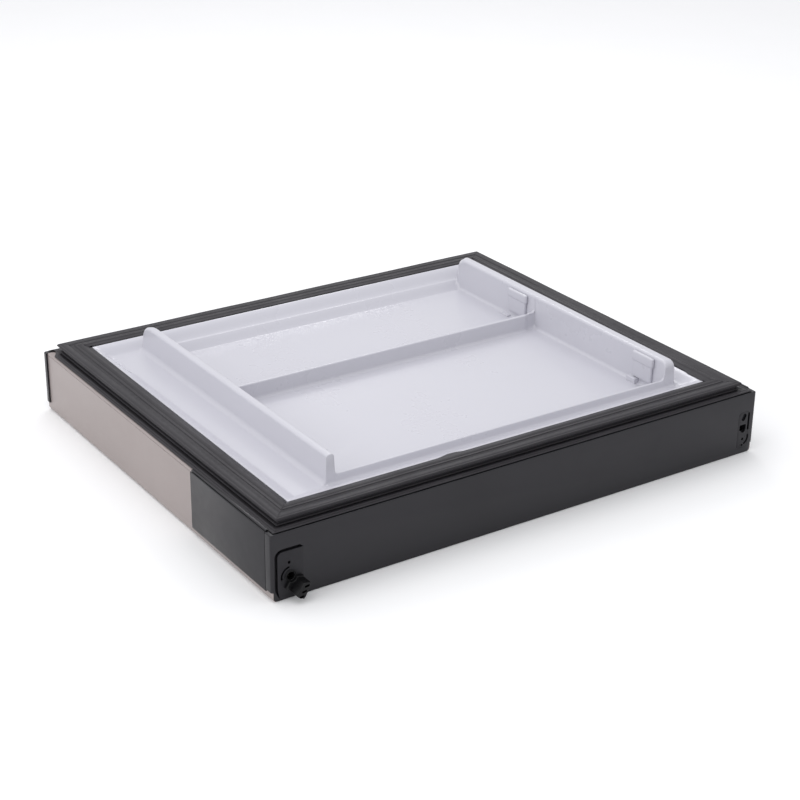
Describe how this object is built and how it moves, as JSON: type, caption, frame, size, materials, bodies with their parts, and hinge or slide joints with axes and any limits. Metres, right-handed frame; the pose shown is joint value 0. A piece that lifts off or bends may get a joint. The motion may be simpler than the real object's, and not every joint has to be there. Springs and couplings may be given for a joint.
{
  "type": "refrigerator freezer door",
  "caption": "Insulated freezer door with a steel front, moulded end caps, a moulded inner liner with shelf bays, a floating magnetic gasket and a sprung hinge closer.",
  "frame": {"origin": "middle of the flat front face, which the door lies on", "axes": "+X across the door's width, away from the hinge side; +Y from the lower end of the door to its upper end; +Z from the front to the inner side"},
  "size_m": [0.599, 0.521, 0.101],
  "materials": {
    "stainless": "satin",
    "black_cap": "satin",
    "white_liner": "gloss",
    "gasket": "matte",
    "magnet": "matte",
    "foam": "matte",
    "zinc_steel": "satin",
    "black_acetal": "satin"
  },
  "bodies": {
    "door": {"front_skin": "stainless", "bottom_end_cap": "black_cap", "top_end_cap": "black_cap", "left_side_cover": "black_cap", "right_side_cover": "black_cap", "door_liner": "white_liner", "foam_core": "foam", "gasket_base": "gasket", "gasket_bellows": "gasket", "hinge_insert": "black_acetal", "spare_hinge_insert": "black_acetal", "closer_housing": "black_acetal", "closer_spring": "zinc_steel", "top_hinge_bush": "black_acetal", "top_hole_plug": "black_acetal", "bottom_plate_left": "zinc_steel", "bottom_plate_right": "zinc_steel", "top_plate_left": "zinc_steel", "top_plate_right": "zinc_steel"},
    "gasket": {"gasket_face": "gasket", "magnet_lower": "magnet", "magnet_upper": "magnet", "magnet_left": "magnet", "magnet_right": "magnet"},
    "closer": {"closer_cam": "black_acetal"}
  },
  "joints": [
    {"name": "gasket_float", "type": "slide", "parent": "door", "child": "gasket", "axis": [0, 0, 1], "range_m": [-0.0035, 0.002], "stiffness_N_per_m": 6000, "deforming": ["gasket_bellows"]},
    {"name": "closer_turn", "type": "hinge", "parent": "door", "child": "closer", "pos_m": [-0.2788, -0.2525, 0.0234], "axis": [0, -1, 0], "range_deg": [0, 45], "stiffness_Nm_per_rad": 0.3, "springref_deg": -28.65}
  ]
}
